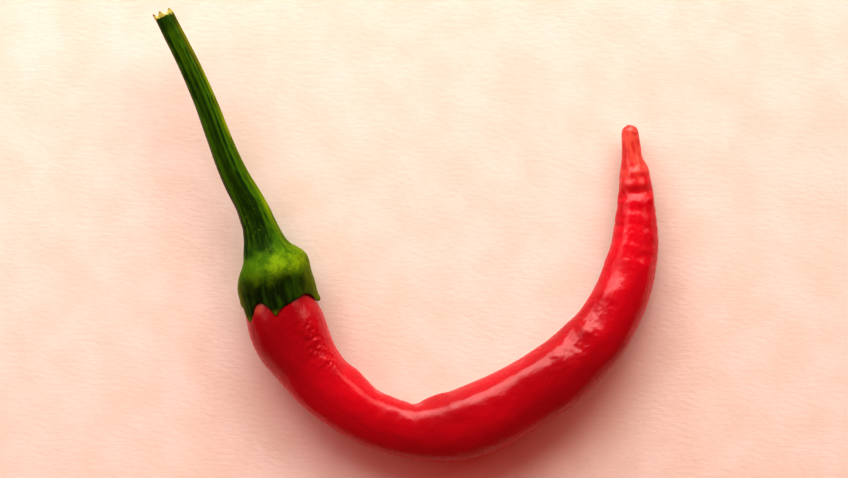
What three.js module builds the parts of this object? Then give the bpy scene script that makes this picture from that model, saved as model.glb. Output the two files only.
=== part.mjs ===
// A fresh red chilli pepper with its calyx and stem, lying on its side as it was picked.
// Millimetres, +Z up. The origin is on the table under the middle of the chilli. +X runs from the
// stem's side to the tip's side, and +Y from the bend of the pod to the open end of its curve.
//
// One line, the spine, runs through the whole chilli, from the cut end of the stem to the tip of the
// pod. Each piece is turned straight on a lathe, with its own profile along that line, and is then bent
// onto it. "Along" is the distance from the cut end. "Round" is the angle about the spine, from 0 on
// top, positive towards the outside of the bend and negative towards the inside.
import * as THREE from "three";

// The spine: x and y of its points from the middle of the chilli, and z above the table.
const SPINE = [
  [-48.6, 44.6, 10.5],
  [-41.5, 29.7, 9.6],
  [-34.7, 12.5, 8.6],
  [-30.8, 5.1, 8.0],
  [-28.2, -3.1, 7.5],
  [-26.3, -10.3, 7.1],
  [-24.4, -17.5, 7.2],
  [-19.8, -25.9, 6.5],
  [-12.7, -32.8, 5.9],
  [-4.4, -37.4, 5.6],
  [4.5, -38.6, 5.9],
  [14.4, -36.2, 6.6],
  [24.1, -31.1, 6.4],
  [34.2, -23.6, 5.9],
  [41.2, -14.9, 5.5],
  [44.9, -4.5, 4.8],
  [45.9, 7.1, 3.9],
  [45.2, 16.0, 3.5],
  [44.5, 22.5, 3.6],
];
const SPINE_STEPS = 4000;

// Profiles: pairs of [distance along the spine, radius], in order from the stem's end to the tip's end,
// except the calyx's inside, which comes back from its rim.
const STEM_CUT_PITH = [[0.9, 0], [0.8, 1.1]];
const STEM_BARK = [
  [0, 1.6],
  [0.6, 1.95],
  [2.5, 1.82],
  [12, 1.98],
  [26, 2.25],
  [36, 2.6],
  [43, 2.95],
  [46, 3.4],
  [48.2, 3.8],
  [49.6, 4.2],
];
const CALYX_DOME = [
  [50.1, 4.3],
  [51.6, 4.8],
  [53.5, 6.1],
  [55.6, 7.1],
  [58, 7.5],
  [60.6, 7.6],
];
const CALYX_RIM = 62.2;
const CALYX_RIM_RADIUS = 7.7;
const CALYX_WALL = 0.55;
const CALYX_INSIDE = [
  [60, 7.05],
  [57.5, 6.8],
  [55, 5.6],
  [53.6, 3.6],
  [52.9, 0],
];
const POD = [
  [53.3, 0],
  [53.9, 3.0],
  [55.2, 4.9],
  [57.6, 6.25],
  [60.5, 6.7],
  [63.5, 7.15],
  [67, 7.85],
  [71, 7.5],
  [76.5, 6.5],
  [85, 6.1],
  [92, 5.6],
  [101.5, 5.5],
  [106, 6.5],
  [111, 7.2],
  [119, 7.3],
  [128, 6.75],
  [138, 6.45],
  [149, 6.0],
  [158, 5.45],
  [167, 4.4],
  [175, 3.35],
  [178.5, 2.9],
  [181, 2.15],
  [185, 1.95],
  [187.5, 1.3],
  [188.4, 0],
];

// Five teeth hang from the calyx's rim, at these angles round it, with a hollow arc between each two.
const TEETH = [-150, -82.5, 15, 67.5, 142.5];
const TOOTH = 2.3;
const TOOTH_FLARE = 0.35;
const ARC_SHARPNESS = 2.3;
const TOOTH_FROM = 58;

// Five low ribs run the length of the stem and fade out in the calyx's neck.
const STEM_RIBS = 5;
const STEM_RIB = 0.05;

// The pod's section is a little lower than wide, with three soft ridges, one on the inner side of its top.
const POD_HEIGHT_TO_WIDTH = 0.94;
const POD_RIDGES = 3;
const POD_RIDGE = 0.03;
const POD_RIDGE_AT = -38;
const POD_RIDGES_FROM = 68;
const POD_RIDGES_FULL = [80, 152];
const POD_RIDGES_TO = 172;

// Where the bend is tightest the inner wall is folded in.
const FOLD = { along: 103.4, round: -88, length: 1.9, turn: 40, depth: 0.9 };

// Numbers of rings along each piece and of sides round it.
const STEM_RINGS = 22;
const STEM_SIDES = 20;
const CALYX_RINGS = 9;
const CALYX_SIDES = 48;
const POD_RINGS = 72;
const POD_SIDES = 32;

// The height of the surface that the chilli lies on.
const TABLE = 0;

const spine = new THREE.CatmullRomCurve3(SPINE.map((p) => new THREE.Vector3(...p)), false, "centripetal");
spine.arcLengthDivisions = SPINE_STEPS;
const spineLength = spine.getLength();

// A smooth line through a profile's points, as lathe points: radius, then distance along.
function smoothProfile(pairs, count) {
  const line = new THREE.SplineCurve(cornerProfile(pairs));
  return line.getSpacedPoints(count - 1).map((p) => new THREE.Vector2(Math.max(p.x, 0), p.y));
}

// The profile's points themselves, as lathe points, with a corner at each.
function cornerProfile(pairs) {
  return pairs.map(([along, radius]) => new THREE.Vector2(radius, along));
}

// Bends a straight lathe onto the spine. shape(along, round, radius) gives each point's own
// { along, radius }, and height its section's height over its width.
function bendOntoSpine(geometry, shape, height) {
  const up = new THREE.Vector3(0, 0, 1);
  const position = geometry.getAttribute("position");
  for (let i = 0; i < position.count; i += 1) {
    const x = position.getX(i);
    const z = position.getZ(i);
    const bare = Math.hypot(x, z);
    const round = bare > 0 ? THREE.MathUtils.radToDeg(Math.atan2(x, z)) : 0;
    const { along, radius } = shape(position.getY(i), round, bare);
    const share = THREE.MathUtils.clamp(along / spineLength, 0, 1);
    const tangent = spine.getTangentAt(share);
    const outwards = new THREE.Vector3().crossVectors(tangent, up).normalize();
    const upwards = new THREE.Vector3().crossVectors(outwards, tangent);
    const angle = THREE.MathUtils.degToRad(round);
    const point = spine.getPointAt(share);
    point.addScaledVector(outwards, radius * Math.sin(angle));
    point.addScaledVector(upwards, radius * Math.cos(angle) * height);
    // The flesh gives a little where it rests, so nothing reaches under the table.
    position.setXYZ(i, point.x, point.y, Math.max(point.z, TABLE));
  }
  geometry.deleteAttribute("normal");
  geometry.deleteAttribute("uv");
  geometry.computeVertexNormals();
  return geometry;
}

// 0 before from, 1 after to, and smooth between them. It also falls, where from is the larger.
function smoothRise(from, to, value) {
  const share = THREE.MathUtils.clamp((value - from) / (to - from), 0, 1);
  return share * share * (3 - 2 * share);
}

// The smaller turn from one angle to another, from -180 to 180 degrees.
function turn(from, to) {
  return THREE.MathUtils.euclideanModulo(to - from + 180, 360) - 180;
}

// How far a point on the rim hangs, from 0 in the middle of an arc to 1 at a tooth's point.
function toothShare(round) {
  const before = Math.max(...TEETH.map((tooth) => tooth + 360 * Math.floor((round - tooth) / 360)));
  const after = Math.min(...TEETH.map((tooth) => tooth + 360 * Math.ceil((round - tooth) / 360)));
  if (after === before) return 1;
  const share = (round - before) / (after - before);
  return Math.abs(2 * share - 1) ** ARC_SHARPNESS;
}

function stemGeometry() {
  const profile = [
    ...cornerProfile(STEM_CUT_PITH),
    ...smoothProfile(STEM_BARK, STEM_RINGS),
    ...cornerProfile([[STEM_BARK.at(-1)[0], 0]]),
  ];
  const shape = (along, round, radius) => {
    const fade = smoothRise(STEM_BARK.at(-1)[0], STEM_BARK.at(-4)[0], along);
    const rib = STEM_RIB * fade * Math.cos(THREE.MathUtils.degToRad(STEM_RIBS * round));
    return { along, radius: radius * (1 + rib) };
  };
  return bendOntoSpine(new THREE.LatheGeometry(profile, STEM_SIDES), shape, 1);
}

function calyxGeometry() {
  const profile = [
    ...cornerProfile([[CALYX_DOME[0][0], 0]]),
    ...smoothProfile(CALYX_DOME, CALYX_RINGS),
    ...cornerProfile([
      [CALYX_RIM, CALYX_RIM_RADIUS],
      [CALYX_RIM, CALYX_RIM_RADIUS - CALYX_WALL],
    ]),
    ...smoothProfile(CALYX_INSIDE, CALYX_RINGS),
  ];
  const shape = (along, round, radius) => {
    const tooth = toothShare(round) * smoothRise(TOOTH_FROM, CALYX_RIM, along);
    return { along: along + TOOTH * tooth, radius: radius + TOOTH_FLARE * tooth };
  };
  return bendOntoSpine(new THREE.LatheGeometry(profile, CALYX_SIDES), shape, POD_HEIGHT_TO_WIDTH);
}

function podGeometry() {
  const shape = (along, round, radius) => {
    const start = smoothRise(POD_RIDGES_FROM, POD_RIDGES_FULL[0], along);
    const end = smoothRise(POD_RIDGES_TO, POD_RIDGES_FULL[1], along);
    const ridge = Math.cos(THREE.MathUtils.degToRad(POD_RIDGES * (round - POD_RIDGE_AT)));
    const lengthwise = (along - FOLD.along) / FOLD.length;
    const crosswise = turn(FOLD.round, round) / FOLD.turn;
    const fold = FOLD.depth * Math.exp(-(lengthwise ** 2) - crosswise ** 2);
    return { along, radius: Math.max(radius * (1 + POD_RIDGE * start * end * ridge) - fold, 0) };
  };
  const profile = smoothProfile(POD, POD_RINGS);
  return bendOntoSpine(new THREE.LatheGeometry(profile, POD_SIDES), shape, POD_HEIGHT_TO_WIDTH);
}

const greenSkin = new THREE.MeshStandardMaterial({ color: 0x4c7a12, roughness: 0.45, metalness: 0 });
const stemSkin = new THREE.MeshStandardMaterial({ color: 0x2f5a14, roughness: 0.5, metalness: 0 });
const redSkin = new THREE.MeshStandardMaterial({ color: 0xb8060f, roughness: 0.2, metalness: 0 });

function piece(name, geometry, material) {
  const mesh = new THREE.Mesh(geometry, material);
  mesh.name = name;
  return mesh;
}

const chilli = new THREE.Group();
chilli.add(
  piece("stem", stemGeometry(), stemSkin),
  piece("calyx", calyxGeometry(), greenSkin),
  piece("pod", podGeometry(), redSkin),
);

// The middle of the chilli's box goes over the origin, and its lowest point stays on the table.
const box = new THREE.Box3().setFromObject(chilli);
const middle = box.getCenter(new THREE.Vector3());
chilli.position.set(-middle.x, -middle.y, -box.min.z);

export default chilli;
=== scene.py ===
import math

import bmesh
import bpy
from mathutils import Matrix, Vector


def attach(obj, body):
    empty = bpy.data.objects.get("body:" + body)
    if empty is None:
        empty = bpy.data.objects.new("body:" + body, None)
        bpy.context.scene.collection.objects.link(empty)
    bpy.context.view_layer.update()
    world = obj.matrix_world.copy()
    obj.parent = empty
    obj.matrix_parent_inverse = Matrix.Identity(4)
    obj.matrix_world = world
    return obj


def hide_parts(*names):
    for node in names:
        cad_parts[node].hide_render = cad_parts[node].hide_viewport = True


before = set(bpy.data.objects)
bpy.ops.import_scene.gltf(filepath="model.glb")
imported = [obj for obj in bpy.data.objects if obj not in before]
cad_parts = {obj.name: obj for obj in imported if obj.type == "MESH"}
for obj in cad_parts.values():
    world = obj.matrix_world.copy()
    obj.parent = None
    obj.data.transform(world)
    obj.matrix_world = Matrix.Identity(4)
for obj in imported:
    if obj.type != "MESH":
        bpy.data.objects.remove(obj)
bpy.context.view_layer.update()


# ---- Pod ----
# The fruit itself: one thin juicy wall under a waxed red skin, grown in a hook, with a small blunt nipple at
# its tip. It is drawn out straight along +X, ring by ring, with its top up and the inner side of its hook
# towards +Y. It is then pulled and pressed into shape, and bent onto the line that it grew along.

MM = 0.001

# The line that the whole chilli grew along, from its cut stem to its tip, in mm. The table is at height 0.
GROWTH_LINE = (
    (-48.6, 44.6, 10.5),
    (-41.5, 29.7, 9.6),
    (-34.7, 12.5, 8.6),
    (-30.8, 5.1, 8.0),
    (-28.2, -3.1, 7.5),
    (-26.3, -10.3, 7.1),
    (-24.4, -17.5, 7.2),
    (-19.8, -25.9, 6.5),
    (-12.7, -32.8, 5.9),
    (-4.4, -37.4, 5.6),
    (4.5, -38.6, 5.9),
    (14.4, -36.2, 6.6),
    (24.1, -31.1, 6.4),
    (34.2, -23.6, 5.9),
    (41.2, -14.9, 5.5),
    (44.9, -4.5, 4.8),
    (45.9, 7.1, 3.9),
    (45.2, 16.0, 3.5),
    (44.5, 22.5, 3.6),
)

# The pod's radius at places along that line, both in mm from the cut end of the stem.
POD_PROFILE = (
    (53.4, 1.2),
    (54.2, 3.4),
    (55.6, 5.0),
    (57.6, 6.2),
    (60.5, 6.8),
    (63.5, 7.25),
    (67, 7.8),
    (71, 7.5),
    (76.5, 6.6),
    (85, 6.1),
    (92, 5.65),
    (100, 5.5),
    (106, 6.4),
    (111, 7.15),
    (119, 7.25),
    (128, 6.75),
    (138, 6.45),
    (149, 6.0),
    (158, 5.4),
    (167, 4.45),
    (175, 3.5),
    (178.5, 3.1),
    (181.5, 2.3),
)
# The thin nipple that ends the pod, with a blunt end.
NIPPLE_PROFILE = (
    (181.5, 2.3),
    (184, 2.05),
    (186.3, 1.85),
    (187.6, 1.7),
    (188.4, 1.35),
    (188.7, 0.8),
)
POD_SIDES = 24
POD_RING_GAP = 2.5
NIPPLE_RING_GAP = 0.8
POD_FLATNESS = 0.94
# Soft ridges run the pod's length, the sharpest along the inner side of its top: each one's angle about the
# line, where it ends along it in mm, and its height in mm. All start at one place.
RIDGES = (
    (-42, 136, 0.42),
    (62, 150, 0.25),
    (200, 150, 0.2),
)
RIDGE_START = 78
RIDGE_STEP = 4
# The rows below are pulls on the skin: the place along and its angle, how far it goes along and out, how far
# around it the skin follows, all in mm, and how the pull fades.
# Where the hook is tightest its inner wall buckles: a sharp crease, with a swelling on each side of it.
CREASE = (
    (101.5, -92, (0, -0.9), 3.2, "SHARP"),
    (102.5, -70, (0, -0.5), 3, "SHARP"),
    (91.5, -88, (0, -0.35), 3.5, "SMOOTH"),
    (85, -85, (0, 0.5), 4.5, "SMOOTH"),
    (107, -90, (0, 0.4), 5, "SMOOTH"),
)
# Past the ridge the inner side of the top is pressed into three flat places, with soft swellings between
# them. The last three rows are a swelling and a hollow on the outer side, and a swelling by the calyx.
FLAT_PLACES = (
    (139.5, -28, (0, -0.45), 4.5, "SMOOTH"),
    (147.5, -26, (0, -0.45), 5, "SMOOTH"),
    (158, -30, (0, -0.4), 4.5, "SMOOTH"),
    (152.5, -45, (0, 0.15), 3, "SMOOTH"),
    (143.5, -32, (0, 0.25), 2.4, "SMOOTH"),
    (131, 75, (0, 0.3), 7, "SMOOTH"),
    (75, 60, (0, -0.3), 6, "SMOOTH"),
    (62.5, -20, (0, 0.3), 4, "SMOOTH"),
)
# The top is flatter where the tip folds cross it.
FOLDS_BED = (174.5, 0, (0, -0.2), 2.8)
# The folds that cross the top near the tip: where each is along the line, how far it rises or sinks, and how
# much further along it is on the outer side than on top, all in mm.
TIP_FOLDS = (
    (179.9, -0.15, 0.3),
    (178.9, 0.13, 0.2),
    (177.9, -0.16, -0.3),
    (176.4, 0.16, 0.1),
    (174.8, -0.3, 0.4),
    (173.1, 0.2, 0.3),
)
TIP_FOLD_TURNS = (-56, -28, 0, 28, 56)
TIP_FOLD_REACH = 1.6
# The pod's flesh ends in a lip on the outer side, and the thin nipple grows out from behind it, with an
# uneven end.
LIP_AND_END = (
    (179.5, 90, (0, 0.25), 2.4, "SMOOTH"),
    (182.2, 90, (0, -0.25), 1.8, "SMOOTH"),
    (187.8, 50, (-0.1, -0.35), 0.9, "SMOOTH"),
    (188.7, -60, (0.15, 0.1), 0.8, "SMOOTH"),
)
# Patches where the skin is less smooth: each one's middle angle and half width in degrees, where it starts
# and ends along the line, and how wide its soft edge is, in mm.
SKIN_PATCHES = (
    ("hammered", -32, 60, 130, 154, 5),
    ("shrivelled", -34, 28, 66, 81, 3),
    ("lumpy", 0, 360, 154, 184, 9),
)
# The unevenness of the skin: how wide and how high its shapes are in mm, how much longer they are along X, Y
# and Z, and the patch they keep to. The first two are all over.
SKIN_ROUGHNESS = (
    (8, 0.5, (1.6, 1, 1), ""),
    (1.8, 0.08, (1.3, 1, 1), ""),
    (1.5, 0.26, (1, 1, 1), "hammered"),
    (1.05, 0.42, (0.7, 1.4, 1), "shrivelled"),
    (2.6, 0.3, (0.8, 1.3, 1.3), "lumpy"),
    (1.4, 0.14, (0.8, 1.2, 1.2), "lumpy"),
)


def start_piece(name, along, radius, sides, fill):
    """Starts a piece as a flat round face, or a bare ring, across the growth line, and selects all of it."""
    bpy.ops.object.select_all(action="DESELECT")
    bpy.ops.mesh.primitive_circle_add(
        vertices=sides,
        radius=radius * MM,
        fill_type=fill,
        location=(along * MM, 0, 0),
        rotation=(0, math.pi / 2, 0),
    )
    piece = bpy.context.object
    piece.name = name
    piece.data.name = name
    bpy.ops.object.transform_apply(location=True, rotation=True, scale=True)
    bpy.ops.object.mode_set(mode="EDIT")
    bpy.ops.mesh.select_mode(type="VERT")
    bpy.ops.mesh.select_all(action="SELECT")
    return piece


def radius_at(profile, along):
    """The radius on a smooth line through a profile's points."""
    last = len(profile) - 2
    at = min(max(sum(along >= point[0] for point in profile) - 1, 0), last)
    before, start, end, after = (profile[min(max(at + step, 0), last + 1)] for step in (-1, 0, 1, 2))
    span = end[0] - start[0]
    start_slope = (end[1] - before[1]) / (end[0] - before[0]) * span
    end_slope = (after[1] - start[1]) / (after[0] - start[0]) * span
    t = (along - start[0]) / span
    return (
        start[1] * (2 * t**3 - 3 * t**2 + 1)
        + start_slope * (t**3 - 2 * t**2 + t)
        + end[1] * (3 * t**2 - 2 * t**3)
        + end_slope * (t**3 - t**2)
    )


def grow(profile, ring_gap):
    """Extrudes the selected end on along +X, ring by ring, to a profile's sizes."""
    start, size = profile[0]
    rings = math.ceil((profile[-1][0] - start) / ring_gap)
    gap = (profile[-1][0] - start) / rings
    for ring in range(1, rings + 1):
        along = start + gap * ring
        new_size = radius_at(profile, along)
        scale = new_size / size
        bpy.ops.mesh.extrude_region_move(TRANSFORM_OT_translate={"value": (gap * MM, 0, 0)})
        bpy.ops.transform.resize(value=(1, scale, scale), center_override=(along * MM, 0, 0))
        size = new_size


def turn_of(place):
    """A place's angle about the straight piece: 0 on top, 90 on the hook's outer side, -90 on its inner."""
    return math.degrees(math.atan2(-place.y, place.z))


def turn_between(one, other):
    return abs((one - other + 180) % 360 - 180)


def out_from_line(turn):
    """The direction straight out of the growth line at an angle about it."""
    return Vector((0, -math.sin(math.radians(turn)), math.cos(math.radians(turn))))


def select_skin(wanted):
    """Selects the vertices of the piece in edit mode for whose place wanted is true."""
    mesh = bmesh.from_edit_mesh(bpy.context.object.data)
    for vertex in mesh.verts:
        vertex.select_set(bool(wanted(vertex.co)))
    mesh.select_flush_mode()
    bmesh.update_edit_mesh(bpy.context.object.data)


def pull(along, turn, move, reach, falloff="SMOOTH"):
    """Moves the skin at one place, with what lies within reach of it. move is (along, out), in mm."""
    mesh = bmesh.from_edit_mesh(bpy.context.object.data)
    way_out = out_from_line(turn)

    def distance(vertex):
        off_line = Vector((0, vertex.co.y, vertex.co.z))
        return (vertex.co - Vector((along * MM, 0, 0)) - way_out * off_line.length).length

    nearest = min(mesh.verts, key=distance)
    for vertex in mesh.verts:
        vertex.select_set(vertex == nearest)
    mesh.select_flush_mode()
    bpy.ops.transform.translate(
        value=Vector((move[0], 0, 0)) * MM + way_out * (move[1] * MM),
        use_proportional_edit=True,
        proportional_edit_falloff=falloff,
        proportional_size=reach * MM,
    )


def finish_with(piece, kind, **settings):
    """Adds a modifier to a piece, sets it, and applies it."""
    bpy.ops.object.select_all(action="DESELECT")
    piece.select_set(True)
    bpy.context.view_layer.objects.active = piece
    modifier = piece.modifiers.new(kind, kind)
    for setting, value in settings.items():
        setattr(modifier, setting, value)
    bpy.ops.object.modifier_apply(modifier=modifier.name)


def subdivide(piece, levels):
    finish_with(piece, "SUBSURF", levels=levels, render_levels=levels)


def ease(low, high, value):
    """0 below low, 1 above high, and smooth between them. It falls instead where low is the larger."""
    t = min(max((value - low) / (high - low), 0), 1)
    return t * t * (3 - 2 * t)


def mark_patch(piece, name, turn, spread, first, last, edge):
    """Names a patch of skin: spread degrees about a turn, from first to last mm along, with a soft edge."""
    patch = piece.vertex_groups.new(name=name)
    for vertex in piece.data.vertices:
        along = vertex.co.x / MM
        share = ease(first, first + edge, along) * ease(last, last - edge, along)
        share *= ease(spread, spread / 2, turn_between(turn_of(vertex.co), turn))
        patch.add([vertex.index], share, "REPLACE")


def roughen(piece, size, depth, stretch, region=""):
    """Raises and sinks a piece's skin with soft noise. stretch lengthens its shapes along X, Y and Z."""
    texture = bpy.data.textures.new("swelling", "CLOUDS")
    texture.noise_scale = size * MM
    texture.noise_depth = 1
    gauge = bpy.data.objects.new("gauge", None)
    gauge.scale = stretch
    bpy.context.collection.objects.link(gauge)
    bpy.context.view_layer.update()
    finish_with(
        piece,
        "DISPLACE",
        texture=texture,
        texture_coords="OBJECT",
        texture_coords_object=gauge,
        strength=depth * MM,
        mid_level=0.5,
        vertex_group=region,
    )
    bpy.data.objects.remove(gauge)


def draw_growth_line():
    line = bpy.data.curves.new("growth_line", "CURVE")
    line.dimensions = "3D"
    line.twist_mode = "Z_UP"
    line.resolution_u = 48
    spline = line.splines.new("BEZIER")
    spline.bezier_points.add(len(GROWTH_LINE) - 1)
    for point, place in zip(spline.bezier_points, GROWTH_LINE):
        point.co = Vector(place) * MM
        point.handle_left_type = "AUTO"
        point.handle_right_type = "AUTO"
    growth_line = bpy.data.objects.new("growth_line", line)
    bpy.context.collection.objects.link(growth_line)
    bpy.context.view_layer.update()
    return growth_line


growth_line = draw_growth_line()


def bend(piece):
    """Bends a straight piece onto the growth line. Its straight places stay in the attribute "straight",
    which the skin's pattern follows."""
    straight = piece.data.attributes.new("straight", "FLOAT_VECTOR", "POINT")
    for place, vertex in zip(straight.data, piece.data.vertices):
        place.vector = vertex.co
    finish_with(piece, "CURVE", object=growth_line, deform_axis="POS_X")


def settle(piece):
    """Presses what would reach under the table flat onto it, and smooths the shading."""
    bpy.ops.object.mode_set(mode="EDIT")
    select_skin(lambda place: place.z < 0)
    bpy.ops.transform.resize(value=(1, 1, 0), center_override=(0, 0, 0))
    bpy.ops.mesh.select_all(action="SELECT")
    bpy.ops.mesh.normals_make_consistent(inside=False)
    bpy.ops.object.mode_set(mode="OBJECT")
    bpy.ops.object.shade_smooth()


pod = start_piece("pod_fruit", POD_PROFILE[0][0], POD_PROFILE[0][1], POD_SIDES, "NGON")
grow(POD_PROFILE, POD_RING_GAP)
grow(NIPPLE_PROFILE, NIPPLE_RING_GAP)
bpy.ops.mesh.select_all(action="SELECT")
bpy.ops.transform.resize(value=(1, 1, POD_FLATNESS), center_override=(0, 0, 0))
bpy.ops.object.mode_set(mode="OBJECT")
subdivide(pod, 2)

bpy.ops.object.mode_set(mode="EDIT")
for ridge_turn, ridge_end, ridge_height in RIDGES:
    for along in range(RIDGE_START, ridge_end, RIDGE_STEP):
        pull(along, ridge_turn, (0, ridge_height), RIDGE_STEP, "LINEAR")
for row in CREASE + FLAT_PLACES:
    pull(*row)
pull(*FOLDS_BED)
for along, rise, slant in TIP_FOLDS:
    for fold_turn in TIP_FOLD_TURNS:
        slanted = along + slant * fold_turn / TIP_FOLD_TURNS[-1]
        pull(slanted, fold_turn, (0, rise), TIP_FOLD_REACH)
for row in LIP_AND_END:
    pull(*row)
bpy.ops.object.mode_set(mode="OBJECT")
subdivide(pod, 1)

for patch in SKIN_PATCHES:
    mark_patch(pod, *patch)
for row in SKIN_ROUGHNESS:
    roughen(pod, *row)
bend(pod)
settle(pod)


class Wire:
    """The output of a node in a material. Python's operators on it add Math nodes."""

    def __init__(self, tree, socket):
        self.tree = tree
        self.socket = socket

    def node(self, kind, settings, inputs, output=0):
        """Adds a node: its settings first, then its inputs by name or number. Gives one of its outputs."""
        node = self.tree.nodes.new(kind)
        for name, value in settings.items():
            if name == "stops":
                ramp = node.color_ramp
                while len(ramp.elements) < len(value):
                    ramp.elements.new(0.5)
                for element, (position, color) in zip(ramp.elements, value):
                    element.position = position
                    element.color = color
            else:
                setattr(node, name, value)
        for name, value in inputs.items():
            if isinstance(value, Wire):
                self.tree.links.new(value.socket, node.inputs[name])
            else:
                node.inputs[name].default_value = value
        return Wire(self.tree, node.outputs[output]) if node.outputs else None

    def math(self, operation, *values):
        return self.node("ShaderNodeMath", {"operation": operation}, dict(enumerate(values)))

    def vector_math(self, operation, *others, output=0):
        values = dict(enumerate((self, *others)))
        return self.node("ShaderNodeVectorMath", {"operation": operation}, values, output)

    def __add__(self, other):
        return self.math("ADD", self, other)

    def __radd__(self, other):
        return self.math("ADD", other, self)

    def __sub__(self, other):
        return self.math("SUBTRACT", self, other)

    def __rsub__(self, other):
        return self.math("SUBTRACT", other, self)

    def __mul__(self, other):
        return self.math("MULTIPLY", self, other)

    def __rmul__(self, other):
        return self.math("MULTIPLY", other, self)

    def __truediv__(self, other):
        return self.math("DIVIDE", self, other)

    def part(self, axis):
        """This vector's X, Y or Z."""
        return self.node("ShaderNodeSeparateXYZ", {}, {0: self}, axis)

    def distance(self, place):
        """This place's distance from another, in mm."""
        return self.vector_math("DISTANCE", place, output=1) / MM

    def ramp(self, low, high, start=0, end=1):
        """start where this is at low or below, end at high or above, and smooth between them."""
        return self.node(
            "ShaderNodeMapRange",
            {"interpolation_type": "SMOOTHSTEP"},
            {0: self, 1: low, 2: high, 3: start, 4: end},
        )

    def noise(self, size, detail=2, stretch=(1, 1, 1)):
        """Soft noise in this vector's space, its shapes about size mm across, stretched along X, Y and Z."""
        scale = [1 / (size * MM * share) for share in stretch]
        place = self.node("ShaderNodeMapping", {}, {"Vector": self, "Scale": scale})
        return self.node("ShaderNodeTexNoise", {}, {"Vector": place, "Scale": 1, "Detail": detail})


def blend(share, one, other):
    """Mixes two colours: the first where share is 0, and the second where it is 1."""
    return share.node("ShaderNodeMix", {"data_type": "RGBA"}, {0: share, 6: one, 7: other}, 2)


def new_finish(name):
    """A new material with nothing in it yet but the straight places along its piece. Gives both."""
    material = bpy.data.materials.new(name)
    material.use_nodes = True
    material.node_tree.nodes.clear()
    tree = Wire(material.node_tree, None)
    straight = tree.node("ShaderNodeAttribute", {"attribute_name": "straight"}, {}, 1)
    return material, straight


def give_skin(material, base, roughness, height, bump_depth, **sockets):
    """Joins a skin's colour, roughness and bump to the shader. The other sockets are the same all over."""
    bump = height.node("ShaderNodeBump", {}, {"Height": height, "Distance": bump_depth * MM, "Strength": 1})
    inputs = {"Base Color": base, "Roughness": roughness, "Normal": bump}
    inputs.update({name.replace("_", " "): value for name, value in sockets.items()})
    shader = height.node("ShaderNodeBsdfPrincipled", {}, inputs)
    height.node("ShaderNodeOutputMaterial", {}, {"Surface": shader})


RIPE_RED = (0.58, 0.002, 0.014, 1)
DEEP_RED = (0.35, 0.001, 0.007, 1)
# A painted shade: the dark red laid on the skin beside and just under the calyx, where the calyx shades it.
PAINTED_SHADE_MAROON = (0.2, 0.0005, 0.003, 1)
TIP_RED = (0.64, 0.1, 0.06, 1)
UNRIPE_RED = (0.42, 0.06, 0.03, 1)
# The skin under the calyx's rim, between two of its teeth, where it stayed unripe.
UNRIPE_PLACE = (61.6 * MM, -4.2 * MM, 5.6 * MM)
# The dark spot on the outer side of the nipple's end.
TIP_SPOT = (187.1 * MM, -0.7 * MM, 1.3 * MM)
SKIN_DIMPLES = 0.12

pod_skin, straight = new_finish("waxed_red_skin")
along = straight.part(0) / MM
# The red is deepest round the bottom of the hook, darkened with painted shade by the calyx, and pale and
# streaked at the tip.
# Places along the pod are in mm from the cut end of the stem.
mottle = straight.noise(9, 3, (2, 1, 1)).ramp(0.35, 0.65)
ripeness = mottle * 0.4 + along.ramp(108, 85, 0, 0.5) + along.ramp(150, 166, 0, 0.5)
red = blend(ripeness, DEEP_RED, RIPE_RED)
# Painted shade: the skin is darkened towards the calyx on the outer side, and more just under its rim.
calyx_painted_shade = along.ramp(86, 68) * (straight.part(1) / MM).ramp(6, 3)
red = blend(calyx_painted_shade * 0.4, red, PAINTED_SHADE_MAROON)
rim_painted_shade = along.ramp(73, 65)
red = blend(rim_painted_shade * 0.45, red, PAINTED_SHADE_MAROON)
tip_streaks = straight.noise(1.2, 1, (3, 1, 1)).ramp(0.38, 0.58, 0.35, 1)
red = blend(along.ramp(172, 186) * tip_streaks, red, TIP_RED)
red = blend(straight.distance(UNRIPE_PLACE).ramp(2.6, 1.4), red, UNRIPE_RED)
red = blend(straight.distance(TIP_SPOT).ramp(1, 0.3) * 0.6, red, DEEP_RED)
pores = straight.noise(0.5, 2)
dimples = straight.noise(1.6, 2, (1.4, 1, 1))
height = dimples * 0.7 + pores * 0.3
roughness = straight.noise(4, 3).ramp(0.3, 0.7, 0.2, 0.3)
give_skin(
    pod_skin,
    red,
    roughness,
    height,
    SKIN_DIMPLES,
    Specular_IOR_Level=0.4,
    Specular_Tint=(1, 0.72, 0.6, 1),
    Coat_Weight=0.08,
    Coat_Roughness=0.12,
    Subsurface_Weight=0.25,
    Subsurface_Radius=(1.0, 0.06, 0.04),
    Subsurface_Scale=0.005,
    Sheen_Weight=0.35,
    Sheen_Roughness=0.4,
    Sheen_Tint=(1, 0.05, 0.12, 1),
)
pod.data.materials.clear()
pod.data.materials.append(pod_skin)
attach(pod, "root")
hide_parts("pod")


# ---- Calyx ----
# The green cap that clasps the pod's shoulder: five fused leaves, each ending in a tooth. It is drawn out
# from its neck as an open cup, its rim is pulled out into the teeth, and its wall is given its thickness.

CALYX_PROFILE = (
    (47, 3.25),
    (48.6, 3.85),
    (50.2, 4.3),
    (52, 5.2),
    (53.4, 6.15),
    (54.8, 6.95),
    (56.7, 7.5),
    (59, 7.7),
    (61.8, 7.65),
)
CALYX_SIDES = 60
CALYX_RING_GAP = 0.9
CALYX_WALL = 0.5
# The cap stands out in a shoulder on the inner side of the hook, and slopes on the outer side. The rows are
# pulls as on the pod.
CALYX_SHOULDERS = (
    (54.3, -90, (0, 0.85), 4),
    (54.3, 90, (0, -0.75), 4),
)
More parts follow.
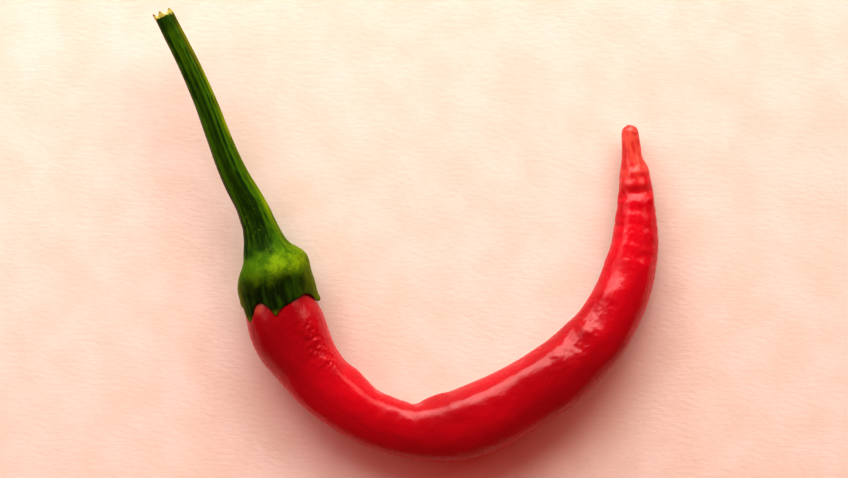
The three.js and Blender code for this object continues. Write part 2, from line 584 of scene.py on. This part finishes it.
# The pulls that draw the rim out into teeth: each one's place along and its turn, how far it goes along and
# outwards, its reach in mm, and how it falls off.
TEETH = (
    (61.8, -150, 2.6, 0.2, 3.4, "SHARP"),
    (61.8, -76, 2.2, 0.1, 4, "SHARP"),
    (64, -88, 0.5, 0.8, 1.4, "SHARP"),
    (61.8, -10, 1.7, 0, 4.4, "LINEAR"),
    (63, 8, 1.6, 0, 2.4, "LINEAR"),
    (64.8, 14, 1.2, 0.1, 1.3, "SHARP"),
    (61.8, 58, 3, 0, 2.8, "SMOOTH"),
    (64.5, 60, 0.5, 0.1, 1.4, "SMOOTH"),
    (61.8, 142, 2.6, 0.2, 3.4, "SHARP"),
)
# The cap below the neck, and the unevenness of the calyx, as on the pod.
CAP_PATCH = ("cap", 0, 360, 50, 80, 4)
CALYX_ROUGHNESS = (
    (2.5, 0.18, (3, 1, 1), ""),
    (3, 0.25, (2.5, 1, 1), "cap"),
    (0.9, 0.12, (2, 1, 1), "cap"),
)

calyx = start_piece("calyx_cap", CALYX_PROFILE[0][0], CALYX_PROFILE[0][1], CALYX_SIDES, "NOTHING")
grow(CALYX_PROFILE, CALYX_RING_GAP)
bpy.ops.mesh.select_all(action="SELECT")
bpy.ops.transform.resize(value=(1, 1, POD_FLATNESS), center_override=(0, 0, 0))
for row in CALYX_SHOULDERS:
    pull(*row)
for along, tooth_turn, length, flare, reach, falloff in TEETH:
    pull(along, tooth_turn, (length, flare), reach, falloff)
bpy.ops.mesh.select_all(action="SELECT")
bpy.ops.mesh.normals_make_consistent(inside=False)
bpy.ops.object.mode_set(mode="OBJECT")
finish_with(calyx, "SOLIDIFY", thickness=CALYX_WALL * MM, offset=-1)
subdivide(calyx, 2)
mark_patch(calyx, *CAP_PATCH)
for row in CALYX_ROUGHNESS:
    roughen(calyx, *row)
bend(calyx)
settle(calyx)

STALK_GREEN = (0.055, 0.125, 0.0005, 1)
STALK_DARK = (0.008, 0.026, 0.0005, 1)
# A light green for the stalk's specks, and for the painted light on its inner edge.
SPECK_AND_PAINTED_LIGHT_GREEN = (0.22, 0.26, 0.002, 1)
FRESH_GREEN = (0.04, 0.095, 0.0005, 1)
# The dark green of the calyx wall's grooves, deepened as painted shade.
GROOVE_AND_SHADE_GREEN = (0.006, 0.013, 0.0005, 1)
LIME = (0.19, 0.25, 0.001, 1)
OLIVE = (0.2, 0.2, 0.002, 1)
TUBE_RADIUS = 3 * MM
CALYX_GROOVES = 0.12


def as_tube(straight):
    """The same places on an even tube, where a pattern keeps to its rib though the stalk widens."""
    across = straight.vector_math("MULTIPLY", (0, 1, 1))
    lengthwise = straight.vector_math("MULTIPLY", (1, 0, 0))
    return across.vector_math("NORMALIZE").vector_math("MULTIPLY_ADD", (TUBE_RADIUS,) * 3, lengthwise)


def turn_on(tube):
    """The turn about the growth line, in degrees, as turn_of gives it."""
    return tube.math("ARCTAN2", 0 - tube.part(1), tube.part(2)) * math.degrees(1)


def stalk_color(tube):
    """The ribbed green that the stalk and the calyx's neck share: dark grooves, and painted light along the
    inner edge.
    """
    turn = turn_on(tube)
    ribs = tube.noise(0.9, 3, (30, 1, 1)) * 0.7 + tube.noise(0.7, 3, (3, 1, 1)) * 0.3
    green = blend(ribs.ramp(0.4, 0.58), STALK_DARK, STALK_GREEN)
    middle = turn.ramp(-25, 0) * turn.ramp(50, 20) * tube.part(0).ramp(8 * MM, 20 * MM)
    green = blend(middle * 0.65, green, STALK_DARK)
    # Painted light: the inner edge is lightened where the window's light catches it, broken up by noise.
    lit_edge_breakup = tube.noise(2.5, 2, (3, 1, 1)).ramp(0.3, 0.6, 0.3, 1)
    edge = turn.ramp(-45, -68) * turn.ramp(-130, -100) * lit_edge_breakup
    edge *= tube.part(0).ramp(50 * MM, 42 * MM, 0.4, 1)
    return blend(edge, green, SPECK_AND_PAINTED_LIGHT_GREEN)


calyx_skin, straight = new_finish("calyx_skin")
along = straight.part(0) / MM
tube = as_tube(straight)
turn = turn_on(tube)
# A lime dome of soft cells, with painted light on the inner side of the hook, falls to a dark grooved wall
# above the teeth, darkened further with painted shade. Places along are in mm and turns in degrees.
cells = (straight.noise(3, 2) * 0.7 + straight.noise(0.6, 2) * 0.3).ramp(0.3, 0.68)
grooves = tube.noise(0.5, 2, (14, 1, 1))
# Painted light: the dome's lime cells are made stronger on the side that faces the window.
painted_light_side = turn.ramp(45, -30) * turn.ramp(-150, -110)
dome = blend(cells * (0.25 + painted_light_side * 0.75), FRESH_GREEN, LIME)
wall = blend(grooves.ramp(0.4, 0.7, 0, 0.5), GROOVE_AND_SHADE_GREEN, FRESH_GREEN)
wander = straight.noise(2.5, 3) * 5
# Painted shade: the wall above the teeth is darkened, less so on the flanks, where it turns away from the
# light.
shade = (along + wander).ramp(57, 61.5) * turn.ramp(-80, -30, 0.45, 1) * turn.ramp(85, 40, 0.6, 1)
green = blend(shade, dome, wall)
flanks = turn.ramp(52, 80) * turn.ramp(130, 100) + turn.ramp(-50, -85) * turn.ramp(-130, -100) * 0.6
green = blend(flanks * 0.7, green, OLIVE)
green = blend(along.ramp(63.3, 64.8) * 0.6, green, LIME)
green = blend((along + wander).ramp(53, 55.5), stalk_color(tube), green)
height = grooves * 0.5 + straight.noise(0.5, 2) * 0.5
give_skin(
    calyx_skin,
    green,
    straight.noise(2, 2).ramp(0.3, 0.7, 0.42, 0.58),
    height,
    CALYX_GROOVES,
    Specular_IOR_Level=0.05,
    Specular_Tint=(1, 0.95, 0.5, 1),
)
calyx.data.materials.clear()
calyx.data.materials.append(calyx_skin)
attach(calyx, "root")
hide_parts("calyx")


# ---- Stem ----
# The stalk that the pod hung by: a ribbed green stalk, thicker where it joins the calyx, and torn off with a
# pale, ragged end. It is drawn out from the torn end, its ribs are raised, and the end is hollowed.

STEM_PROFILE = (
    (0.4, 1.75),
    (2.5, 1.82),
    (12, 1.98),
    (26, 2.25),
    (36, 2.6),
    (43, 2.95),
    (46, 3.35),
    (48.2, 3.78),
    (50, 4.12),
    (51, 4.2),
)
STEM_SIDES = 30
STEM_RING_GAP = 1.6
# The ribs: their angles about the line, half their width in degrees, how far they run along it in mm, and
# how much further out they stand.
STEM_RIBS = (-75, -12, 48, 110, 205)
RIB_HALF_WIDTH = 14
RIBS_END = 46
RIB_HEIGHT = 1.13
# The torn end: how thick its rim of bark is and how deep the pith has sunk, in mm.
BARK_RIM = 0.45
PITH_DEPTH = 0.6
# The horns left round the torn end, and the notches between them: each one's angle, and how far it stands
# out of the end and outwards, in mm.
TORN_HORNS = (
    (80, 1.9, 0.7),
    (14, 1.6, 0),
    (-50, 1.4, 0.2),
    (45, -0.5, 0),
    (-20, -0.5, 0),
    (180, 1, 0),
)
HORN_REACH = 1.3
STEM_ROUGHNESS = (2.5, 0.18, (3, 1, 1))

stem = start_piece("stem_stalk", STEM_PROFILE[0][0], STEM_PROFILE[0][1], STEM_SIDES, "NGON")
grow(STEM_PROFILE, STEM_RING_GAP)
bpy.ops.mesh.select_all(action="SELECT")
bpy.ops.transform.resize(value=(1, 1, POD_FLATNESS), center_override=(0, 0, 0))
select_skin(
    lambda place: place.x < RIBS_END * MM
    and min(turn_between(turn_of(place), rib) for rib in STEM_RIBS) < RIB_HALF_WIDTH
)
bpy.ops.transform.resize(value=(1, RIB_HEIGHT, RIB_HEIGHT), center_override=(0, 0, 0))
torn_end = STEM_PROFILE[0][0]
select_skin(lambda place: place.x < (torn_end + 0.1) * MM)
bpy.ops.mesh.inset(thickness=BARK_RIM * MM)
bpy.ops.transform.translate(value=(PITH_DEPTH * MM, 0, 0))
for horn_turn, horn, flare in TORN_HORNS:
    pull(torn_end, horn_turn, (-horn, flare), HORN_REACH, "SHARP")
bpy.ops.object.mode_set(mode="OBJECT")
subdivide(stem, 3)
roughen(stem, *STEM_ROUGHNESS)
bend(stem)
settle(stem)

TORN_PITH = (0.46, 0.37, 0.09, 1)
TORN_BARK = (0.11, 0.07, 0.005, 1)
BARK_STREAKS = 0.2

stem_bark, straight = new_finish("stem_bark")
along = straight.part(0) / MM
tube = as_tube(straight)
turn = turn_on(tube)
# The stalk browns along its sides and towards its torn end, where the pith is pale inside the bark.
green = stalk_color(tube)
brown_sides = turn.ramp(55, 85) * turn.ramp(140, 110) + turn.ramp(-35, -55) * along.ramp(16, 10)
green = blend(brown_sides * 0.5, green, TORN_BARK)
specks = straight.noise(0.35, 1).ramp(0.68, 0.74) * along.ramp(38, 44) * 0.5
green = blend(specks, green, SPECK_AND_PAINTED_LIGHT_GREEN)
green = blend(along.ramp(5, 2.5) * 0.6, green, STALK_DARK)
ragged = along + straight.noise(0.5, 2) * 1.2
green = blend(ragged.ramp(1.8, 1.5), green, TORN_PITH)
green = blend(ragged.ramp(0.9, 0.5), green, TORN_BARK)
streaks = tube.noise(0.6, 3, (30, 1, 1))
height = streaks * 0.8 + straight.noise(0.3, 2) * 0.2
give_skin(
    stem_bark,
    green,
    straight.noise(2, 2).ramp(0.3, 0.7, 0.42, 0.58),
    height,
    BARK_STREAKS,
    Specular_IOR_Level=0.06,
    Specular_Tint=(1, 0.95, 0.5, 1),
)
stem.data.materials.clear()
stem.data.materials.append(stem_bark)
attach(stem, "root")
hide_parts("stem")

bpy.data.objects.remove(growth_line)


# ---- Table, light and camera ----
# A plain pale table under the chilli, a wide window beyond the open end of its hook, and a camera that looks
# straight down.

VIEW_CENTRE = (3.1 * MM, -0.35 * MM)
VIEW_HEIGHT = 0.35
VIEW_LENS = 72.8
TABLE_SIZE = 30
TABLE_LIGHT = (0.77, 0.595, 0.485, 1)
TABLE_DARK = (0.74, 0.555, 0.435, 1)
TABLE_ROUGHNESS = 0.9
TABLE_FIBRES = 0.05

bpy.ops.object.select_all(action="DESELECT")
bpy.ops.mesh.primitive_plane_add(size=TABLE_SIZE, location=(0, 0, 0))
table = bpy.context.object
table.name = "table"
table_top = bpy.data.materials.new("pale_table")
table_top.use_nodes = True
table_top.node_tree.nodes.clear()
place = Wire(table_top.node_tree, None).node("ShaderNodeTexCoord", {}, {}, 3)
fibres = place.noise(0.7, 3, (2.5, 1, 1))
clouds = place.noise(9, 3).ramp(0.3, 0.7)
give_skin(
    table_top,
    blend(clouds, TABLE_DARK, TABLE_LIGHT),
    TABLE_ROUGHNESS,
    fibres,
    TABLE_FIBRES,
    Specular_IOR_Level=0.2,
)
table.data.materials.append(table_top)

# Each light: its name and kind, its bearing from +X and its height in degrees, its distance and size in
# metres (for a sun, its breadth in degrees), its power and its colour.
LIGHTS = (
    ("sky", "SUN", 96, 31, 1, 50, 1.9, (0.78, 1, 1.05)),
    ("window", "AREA", 98, 31, 0.38, (0.6, 0.3), 1.85, (0.78, 1, 1.05)),
    ("left_window", "AREA", 150, 32, 0.55, (0.5, 0.35), 0.9, (0.78, 1, 1.1)),
    ("right_window", "AREA", 44, 29, 0.55, (0.35, 0.25), 0.8, (0.78, 1, 1)),
    ("bounce", "SUN", -84, 40, 1, 90, 0.45, (1, 0.12, 0.2)),
)
# The dim warm light that fills the shadows, and the pale wall that is seen beyond the table.
ROOM_FILL = (1, 0.14, 0.07, 1)
ROOM_STRENGTH = 0.27
PALE_WALL = (0.72, 0.5, 0.42, 1)

for name, kind, bearing, height, distance, size, power, color in LIGHTS:
    level = distance * math.cos(math.radians(height))
    place = Vector(
        (
            level * math.cos(math.radians(bearing)),
            level * math.sin(math.radians(bearing)),
            distance * math.sin(math.radians(height)),
        )
    )
    bpy.ops.object.light_add(type=kind, location=place)
    light = bpy.context.object
    light.name = name
    light.rotation_euler = place.to_track_quat("Z", "Y").to_euler()
    if kind == "SUN":
        light.data.angle = math.radians(size)
    else:
        light.data.shape = "RECTANGLE"
        light.data.size, light.data.size_y = size
    light.data.energy = power
    light.data.color = color
    light.visible_camera = False

world = bpy.data.worlds.new("room")
world.use_nodes = True
world.node_tree.nodes.clear()
room = Wire(world.node_tree, None)
fill = room.node("ShaderNodeBackground", {}, {"Color": ROOM_FILL, "Strength": ROOM_STRENGTH})
wall_behind = room.node("ShaderNodeBackground", {}, {"Color": PALE_WALL, "Strength": 1})
seen = room.node("ShaderNodeLightPath", {}, {}, 0)
surroundings = room.node("ShaderNodeMixShader", {}, {0: seen, 1: fill, 2: wall_behind})
room.node("ShaderNodeOutputWorld", {}, {"Surface": surroundings})
bpy.context.scene.world = world
bpy.context.scene.view_settings.view_transform = "Standard"
bpy.context.scene.view_settings.exposure = 0.4
bpy.context.scene.view_settings.gamma = 0.78

bpy.ops.object.camera_add(location=(VIEW_CENTRE[0], VIEW_CENTRE[1], VIEW_HEIGHT), rotation=(0, 0, 0))
camera = bpy.context.object
camera.data.lens = VIEW_LENS
camera.data.sensor_width = 36
camera.data.clip_start = 0.01
bpy.context.scene.camera = camera
